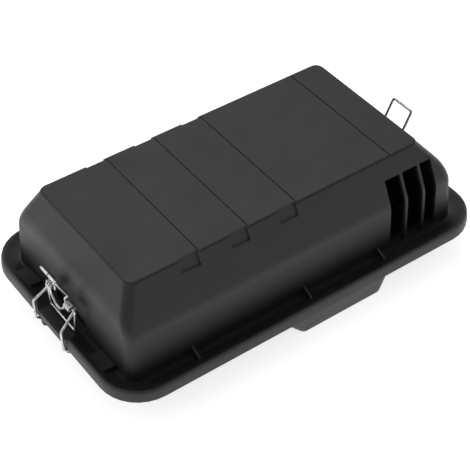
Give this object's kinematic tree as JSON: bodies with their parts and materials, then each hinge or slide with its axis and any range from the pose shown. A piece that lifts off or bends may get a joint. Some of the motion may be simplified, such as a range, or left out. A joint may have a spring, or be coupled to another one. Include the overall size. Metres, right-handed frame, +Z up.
{
  "type": "rodent bait station",
  "caption": "Low box-shaped rodent bait station: domed lid with barred entrance slots on a rimmed base tray, held by wire latches.",
  "frame": {"origin": "centre of the flat underside of the base tray, on the surface the station rests on", "axes": "+X along the station towards the end with the entrance slots, +Y across it, +Z up through the lid"},
  "size_m": [0.3052, 0.18, 0.0896],
  "materials": {
    "black_plastic": "moulded black polypropylene, finely grained matt",
    "grey_plastic": "moulded dark grey plastic, satin",
    "zinc_wire": "bright zinc-plated round wire",
    "bait_wax": "pressed blue-green wax",
    "card_stock": "blank coated card"
  },
  "bodies": {
    "base": {"base_tray": "black_plastic", "bait_liner": "grey_plastic", "baffle_plate": "grey_plastic", "rod_bracket": "grey_plastic", "bait_rod_near": "zinc_wire", "bait_rod_far": "zinc_wire", "bait_block_near_1": "bait_wax", "bait_block_near_2": "bait_wax", "bait_block_near_3": "bait_wax", "bait_block_far_1": "bait_wax", "bait_block_far_2": "bait_wax", "bait_block_far_3": "bait_wax"},
    "lid": {"lid_shell": "black_plastic", "service_card": "card_stock"},
    "latch_spring_left": {"latch_spring_left": "zinc_wire"},
    "latch_spring_right": {"latch_spring_right": "zinc_wire"},
    "latch_lever_left": {"latch_lever_left": "zinc_wire"},
    "latch_lever_right": {"latch_lever_right": "zinc_wire"}
  },
  "joints": [
    {"name": "lid_lift", "type": "slide", "parent": "base", "child": "lid", "axis": [0, 0, 1], "range_m": [0, 0.12]},
    {"name": "latch_swing_left", "type": "hinge", "parent": "base", "child": "latch_spring_left", "pos_m": [-0.146, 0, 0.014], "axis": [0, -1, 0], "range_deg": [0, 90]},
    {"name": "lever_turn_left", "type": "hinge", "parent": "latch_spring_left", "child": "latch_lever_left", "pos_m": [-0.1402, 0, 0.047], "axis": [0, -1, 0], "range_deg": [-6, 21]},
    {"name": "latch_swing_right", "type": "hinge", "parent": "base", "child": "latch_spring_right", "pos_m": [0.146, 0, 0.014], "axis": [0, 1, 0], "range_deg": [0, 90]},
    {"name": "lever_turn_right", "type": "hinge", "parent": "latch_spring_right", "child": "latch_lever_right", "pos_m": [0.1402, 0, 0.047], "axis": [0, 1, 0], "range_deg": [-6, 21]}
  ]
}
